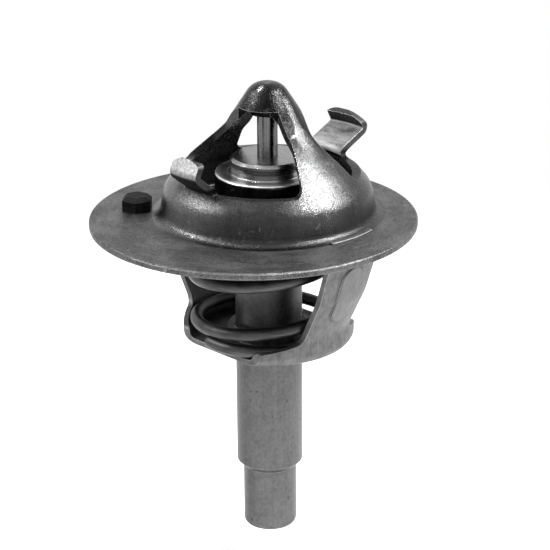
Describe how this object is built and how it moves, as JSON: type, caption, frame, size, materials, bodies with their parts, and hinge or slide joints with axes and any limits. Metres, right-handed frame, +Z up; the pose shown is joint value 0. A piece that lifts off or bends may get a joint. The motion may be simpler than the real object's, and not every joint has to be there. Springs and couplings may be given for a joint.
{
  "type": "engine thermostat",
  "caption": "Wax-element engine thermostat: round pressed flange with a domed bridge, a spring-loaded valve on a capsule, a lower spring frame and a loose vent pin.",
  "frame": {"origin": "centre of the round flange rim, on the flange underside", "axes": "+Z up out of the flange towards the tip of the bridge, +X towards one leg of the bridge, +Y towards the side on which the valve axis lies off the rim centre; the vent is at -X -Y"},
  "size_m": [0.048, 0.048, 0.0706],
  "materials": {
    "pressed_flange": "brushed",
    "pressed_frame": "satin",
    "capsule_metal": "matt plated",
    "turned_steel": "ground",
    "turned_metal": "turned, plated",
    "spring_steel": "drawn wire",
    "seal_rubber": "matt",
    "wax": "matt",
    "vent_cap_dark": "satin",
    "vent_metal": "plated"
  },
  "bodies": {
    "housing": {"bridge_plate": "pressed_flange", "lower_frame": "pressed_frame", "piston": "turned_steel", "main_spring": "spring_steel"},
    "valve_unit": {"element_case": "capsule_metal", "piston_guide": "turned_metal", "guide_seal": "seal_rubber", "backup_washer": "turned_metal", "rubber_sleeve": "seal_rubber", "wax_charge": "wax", "valve_plate": "pressed_frame", "valve_seal": "seal_rubber"},
    "vent_float": {"vent_cap": "vent_cap_dark", "vent_pin": "vent_metal"}
  },
  "joints": [
    {"name": "valve_lift", "type": "slide", "parent": "housing", "child": "valve_unit", "axis": [0, 0, -1], "range_m": [0, 0.007], "stiffness_N_per_m": 300, "springref_m": -0.005, "deforming": ["main_spring"]},
    {"name": "vent_rattle", "type": "slide", "parent": "housing", "child": "vent_float", "axis": [0, 0, 1], "range_m": [0, 0.001]}
  ]
}
